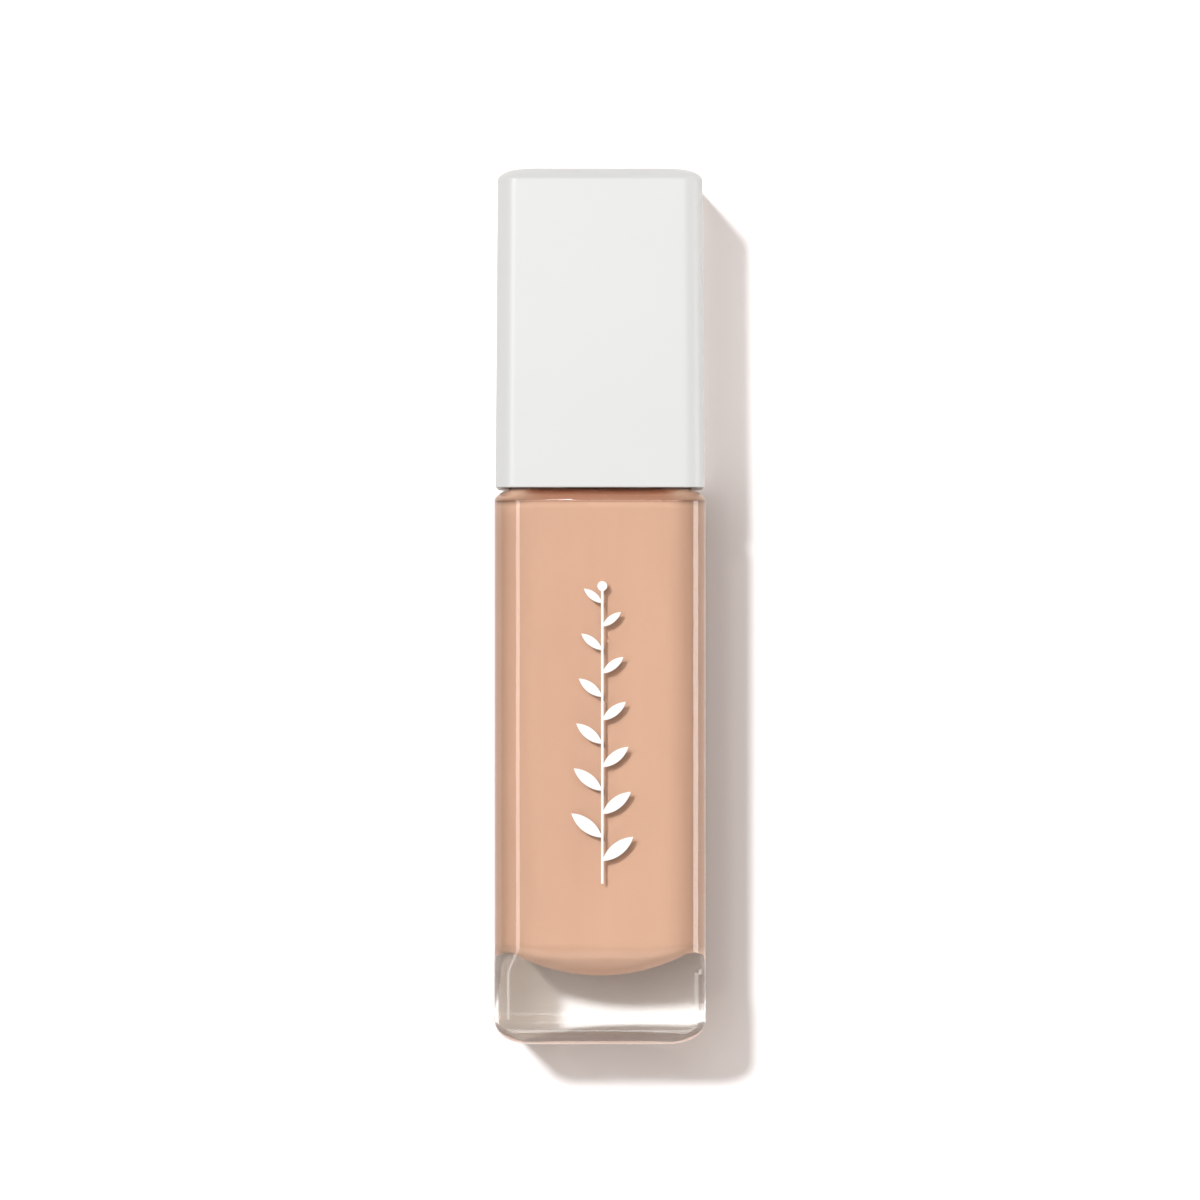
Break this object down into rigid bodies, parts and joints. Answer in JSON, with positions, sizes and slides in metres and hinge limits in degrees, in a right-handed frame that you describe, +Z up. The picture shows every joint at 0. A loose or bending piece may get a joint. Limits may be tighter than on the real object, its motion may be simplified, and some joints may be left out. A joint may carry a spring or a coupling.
{
  "type": "foundation bottle",
  "caption": "Slim square clear-glass foundation bottle with a thick base, full of peach liquid, closed by a tall satin white screw cap that carries a doe-foot applicator.",
  "frame": {"origin": "centre of the base, on the surface the bottle stands on", "axes": "+Z up along the bottle's axis, towards the cap; -Y out of the printed front face; +X to the right of the front"},
  "size_m": [0.028, 0.0281, 0.1163],
  "materials": {
    "clear_glass": "polished clear flint glass",
    "foundation_liquid": "opaque creamy liquid",
    "wiper_plastic": "soft translucent LDPE",
    "white_ink": "screen-printed white ink",
    "label_paper": "coated label",
    "seal_foam": "expanded PE foam",
    "stem_plastic": "moulded natural PP",
    "tip_elastomer": "soft elastomer",
    "tip_flock": "short nylon flock, stained with foundation",
    "inner_cap_plastic": "moulded PP",
    "cap_satin_plastic": "satin white, faintly pearly"
  },
  "bodies": {
    "bottle": {"glass_bottle": "clear_glass", "foundation_fill": "foundation_liquid", "neck_wiper": "wiper_plastic", "front_print": "white_ink", "base_label": "label_paper"},
    "gasket": {"seal_ring": "seal_foam"},
    "stem": {"applicator_stem": "stem_plastic"},
    "cap": {"cap_shell": "cap_satin_plastic", "inner_cap": "inner_cap_plastic", "tip_core": "tip_elastomer", "tip_flocking": "tip_flock"}
  },
  "joints": [
    {"name": "wand_pull", "type": "slide", "parent": "bottle", "child": "gasket", "axis": [0, 0, 1], "range_m": [0, 0.085]},
    {"name": "cap_rise", "type": "slide", "parent": "gasket", "child": "stem", "axis": [0, 0, 1], "range_m": [0, 0.00401]},
    {"name": "cap_turn", "type": "hinge", "parent": "stem", "child": "cap", "pos_m": [0, 0, 0.0905], "axis": [0, 0, 1], "range_deg": [0, 450]}
  ],
  "couplings": [
    {"joint": "cap_rise", "follows": "cap_turn", "m_per_rad": 0.0005093}
  ]
}
